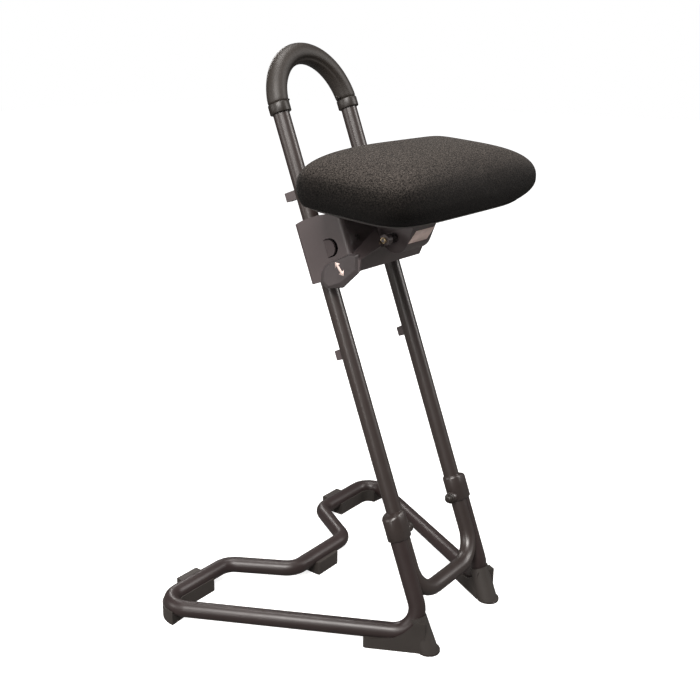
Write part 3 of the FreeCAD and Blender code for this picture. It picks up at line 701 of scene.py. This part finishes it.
# Seat cushion, stuffed by a short cloth simulation
def simulate(thing):
    before = [vertex.co.copy() for vertex in thing.data.vertices]
    cloth = thing.modifiers.new("cloth", "CLOTH")
    cloth.settings.use_pressure = True
    cloth.settings.uniform_pressure_force = 2.5
    cloth.settings.effector_weights.gravity = 0.0
    cloth.settings.tension_stiffness = 30.0
    cloth.settings.compression_stiffness = 30.0
    cloth.settings.vertex_group_mass = "held"
    scene = bpy.context.scene
    for step in range(1, 21):
        scene.frame_set(step)
    apply_modifier(thing, "cloth")
    scene.frame_set(1)
    for vertex, start in zip(thing.data.vertices, before):
        move = vertex.co - start
        if move.length > CUSHION_CAP:
            vertex.co = start + move.normalized() * CUSHION_CAP


def seat_ring(half_w, half_d, shift, z, count=CUSHION_POINTS):
    """Rounded-box outline of the seat at one height, its points evenly spaced."""
    dense = []
    for step in range(600):
        angle = 2 * math.pi * step / 600
        c = math.cos(angle)
        s = math.sin(angle)
        corner = REAR_CORNER if s > 0 else FRONT_CORNER
        x = half_w * math.copysign(abs(c) ** corner, c)
        y = half_d * math.copysign(abs(s) ** corner, s)
        dense.append(Vector((x, y + shift, z)))
    lengths = [0.0]
    for first, second in zip(dense, dense[1:] + dense[:1]):
        lengths.append(lengths[-1] + (second - first).length)
    turn = Matrix.Rotation(SEAT_PITCH, 3, "X")
    ring = []
    index = 0
    for step in range(count):
        goal = lengths[-1] * step / count
        while lengths[index + 1] < goal:
            index += 1
        share = (goal - lengths[index]) / (lengths[index + 1] - lengths[index])
        ring.append(SEAT + turn @ dense[index].lerp(dense[(index + 1) % 600], share))
    return ring


def cushion_rings():
    """Rings from the pan's edge out to the widest line, then up over the crown."""
    rings = [seat_ring(half_w, half_d, RIM_SHIFT, z) for half_w, half_d, z in PAN_EDGE]
    for step in range(1, FLANK_STEPS + 1):
        t = (1 - step / FLANK_STEPS) ** 2 * FLANK_SHARE
        half_w = WAIST_W + (RIM_W - WAIST_W) * t
        half_d = WAIST_D + (RIM_D - WAIST_D) * t
        z = FLANK_Z0 + (WAIST_H - FLANK_Z0) * step / FLANK_STEPS
        rings.append(seat_ring(half_w, half_d, RIM_SHIFT * t, z))
    for degrees in CROWN_DEGREES:
        angle = math.radians(degrees)
        size = math.cos(angle) ** CROWN_SHAPE
        rise = math.sin(angle) ** CROWN_SHAPE
        rings.append(seat_ring(WAIST_W * size, WAIST_D * size, 0, WAIST_H + CROWN_H * rise))
    return rings


def cap_rings(work, count):
    """A flat underside on the first ring and a fan of faces on the last."""
    work.verts.ensure_lookup_table()
    total = len(work.verts)
    work.faces.new([work.verts[i] for i in range(count)][::-1])
    crown = [work.verts[i] for i in range(total - count, total)]
    middle = work.verts.new(sum((v.co for v in crown), Vector()) / count + Vector((0, 0, 0.0004)))
    for i in range(count):
        work.faces.new((crown[i], crown[(i + 1) % count], middle))


def build_cushion():
    work = bmesh.new()
    skin(work, cushion_rings(), capped=False)
    cap_rings(work, CUSHION_POINTS)
    cushion = piece("knit_cushion", closed_mesh("knit_cushion", work), "knit", "seat")
    held = cushion.vertex_groups.new(name="held")
    held.add(list(range(CUSHION_POINTS * 4)), 1.0, "REPLACE")
    simulate(cushion)
    subdivide = cushion.modifiers.new("subdivide", "SUBSURF")
    subdivide.levels = 1
    subdivide.render_levels = 1
    apply_modifier(cushion, "subdivide")
    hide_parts("seat_cushion")


# Studio
def seen_directly(tree):
    """1 for the camera and for refracted views, 0 for light that bounces."""
    path = tree.nodes.new("ShaderNodeLightPath")
    return arithmetic(tree, "MAXIMUM", path.outputs["Is Camera Ray"], path.outputs["Is Transmission Ray"])


def floor_paper():
    """White to the camera and brighter far off; light that bounces meets a dark floor."""
    material, tree, shader, place = new_material("floor_paper")
    seen = seen_directly(tree)
    tree.links.new(colour_mix(tree, "MIX", seen, FLOOR_LIT, FLOOR_SEEN), shader.inputs["Base Color"])
    shader.inputs["Roughness"].default_value = 1.0
    shader.inputs["Specular IOR Level"].default_value = 0.0
    shader.inputs["Emission Color"].default_value = (1.0, 1.0, 1.0, 1.0)
    away = tree.nodes.new("ShaderNodeVectorMath")
    away.operation = "LENGTH"
    tree.links.new(place, away.inputs[0])
    glow = number_range(tree, away.outputs["Value"], 0.76, 1.0, 0.7, 2.2)
    tree.links.new(arithmetic(tree, "MULTIPLY", seen, glow), shader.inputs["Emission Strength"])
    return material


def build_stage():
    mesh = bpy.data.meshes.new("floor")
    size = 12.0
    corners = [(-size, -size, 0), (size, -size, 0), (size, size, 0), (-size, size, 0)]
    mesh.from_pydata(corners, [], [(0, 1, 2, 3)])
    mesh.materials.append(floor_paper())
    floor = bpy.data.objects.new("floor", mesh)
    bpy.context.scene.collection.objects.link(floor)


def area_light(name, place, target, size, power, size_y=None):
    data = bpy.data.lights.new(name, "AREA")
    data.energy = power
    data.color = LIGHT_COLOUR
    data.shape = "RECTANGLE"
    data.size = size
    data.size_y = size_y or size
    lamp = bpy.data.objects.new(name, data)
    bpy.context.scene.collection.objects.link(lamp)
    lamp.location = place
    aim = Vector(target) - Vector(place)
    lamp.rotation_euler = aim.to_track_quat("-Z", "Y").to_euler()


def build_light():
    world = bpy.data.worlds.new("studio")
    bpy.context.scene.world = world
    world.use_nodes = True
    tree = world.node_tree
    background = tree.nodes["Background"]
    background.inputs["Color"].default_value = (1.0, 1.0, 1.0, 1.0)
    strength = number_range(tree, seen_directly(tree), WORLD_LIT, WORLD_SEEN)
    tree.links.new(strength, background.inputs["Strength"])
    area_light("key", (-2.1, -0.95, 2.8), LIGHT_AIM, 1.4, 138.0)
    area_light("side", (1.6, -2.0, 1.9), LIGHT_AIM, 0.5, 46.0, 2.0)
    area_light("top", (0.3, 0.5, 3.0), LIGHT_AIM, 0.9, 36.0)
    area_light("back", (1.2, 2.3, 1.7), LIGHT_AIM, 0.7, 16.0)
    area_light("rear_left", (-2.2, 1.6, 1.1), (-0.1, 0.0, 0.5), 1.3, 20.0, 1.2)
    area_light("streak", (-2.4, -0.45, 1.25), LIGHT_AIM, 0.2, 21.0, 2.2)


def build_camera():
    data = bpy.data.cameras.new("camera")
    data.sensor_width = 36.0
    data.lens = CAMERA_LENS
    data.shift_x = CAMERA_SHIFT
    camera = bpy.data.objects.new("camera", data)
    bpy.context.scene.collection.objects.link(camera)
    camera.location = CAMERA_PLACE
    camera.rotation_euler = CAMERA_TURN
    bpy.context.scene.camera = camera


dress_nodes()
build_sleeve(-1, "domed_sleeve_right", "sleeve_right")
build_sleeve(1, "domed_sleeve_left", "sleeve_left")
build_clamp_nuts()
build_handle()
build_collars()
build_paddle()
build_arrow()
build_housing()
build_label()
build_carriage()
build_cushion()
build_stage()
build_light()
build_camera()
bpy.context.scene.view_settings.view_transform = "Standard"
